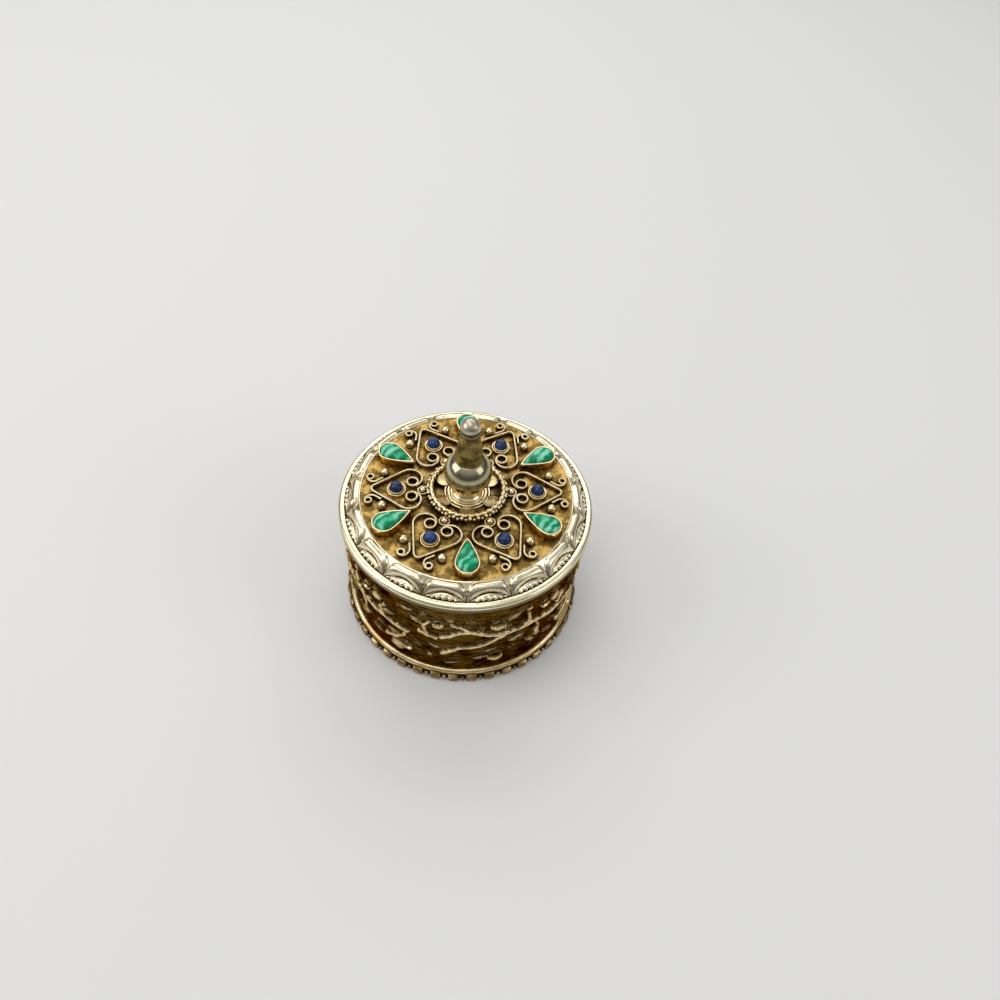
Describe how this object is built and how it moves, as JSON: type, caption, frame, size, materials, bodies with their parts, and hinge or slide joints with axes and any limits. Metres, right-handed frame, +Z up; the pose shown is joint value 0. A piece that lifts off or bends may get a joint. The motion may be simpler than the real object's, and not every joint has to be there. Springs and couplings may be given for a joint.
{
  "type": "trinket box",
  "caption": "Small round metal trinket box with relief ornament, a lift-off filigree lid set with green and blue stones, and a turned ball finial.",
  "frame": {"origin": "centre of the foot's underside", "axes": "+Z up along the box's axis; -Y is the front, towards one green stone and the pictured side"},
  "size_m": [0.061, 0.061, 0.06],
  "materials": {
    "wall_metal": "antiqued, worn gilt on the high spots",
    "foot_metal": "worn gilt, dark in the recesses",
    "inner_metal": "plain satin",
    "rim_metal": "pale plated, softly polished",
    "lappet_metal": "pale plated, dark in the recesses",
    "plate_gilt": "warm gilt, matt",
    "wire_gilt": "bright gilt",
    "finial_metal": "polished, pale plated",
    "green_stone": "polished, banded",
    "blue_stone": "polished"
  },
  "bodies": {
    "box": {"base_plate": "inner_metal", "drum_wall": "wall_metal", "foot_moulding": "foot_metal", "foot_wire": "foot_metal"},
    "lid": {"centre_cup": "plate_gilt", "comma_scrolls_1": "wire_gilt", "comma_scrolls_2": "wire_gilt", "comma_scrolls_3": "wire_gilt", "comma_scrolls_4": "wire_gilt", "comma_scrolls_5": "wire_gilt", "comma_scrolls_6": "wire_gilt", "drop_bezel_1": "wire_gilt", "drop_bezel_2": "wire_gilt", "drop_bezel_3": "wire_gilt", "drop_bezel_4": "wire_gilt", "drop_bezel_5": "wire_gilt", "drop_bezel_6": "wire_gilt", "drop_stone_1": "green_stone", "drop_stone_2": "green_stone", "drop_stone_3": "green_stone", "drop_stone_4": "green_stone", "drop_stone_5": "green_stone", "drop_stone_6": "green_stone", "finial_ball": "finial_metal", "finial_cap": "finial_metal", "finial_collar": "finial_metal", "finial_pin": "inner_metal", "finial_stem": "finial_metal", "finial_washer": "inner_metal", "granules": "wire_gilt", "heart_scroll_1": "wire_gilt", "heart_scroll_2": "wire_gilt", "heart_scroll_3": "wire_gilt", "heart_scroll_4": "wire_gilt", "heart_scroll_5": "wire_gilt", "heart_scroll_6": "wire_gilt", "lid_plate": "plate_gilt", "lid_rim": "rim_metal", "lid_skirt": "inner_metal", "petal_border": "lappet_metal", "rope_ring": "wire_gilt", "rosette": "plate_gilt", "round_bezel_1": "wire_gilt", "round_bezel_2": "wire_gilt", "round_bezel_3": "wire_gilt", "round_bezel_4": "wire_gilt", "round_bezel_5": "wire_gilt", "round_bezel_6": "wire_gilt", "round_stone_1": "blue_stone", "round_stone_2": "blue_stone", "round_stone_3": "blue_stone", "round_stone_4": "blue_stone", "round_stone_5": "blue_stone", "round_stone_6": "blue_stone"}
  },
  "joints": [
    {"name": "lid_lift", "type": "slide", "parent": "box", "child": "lid", "axis": [0, 0, 1], "range_m": [0, 0.04]}
  ]
}
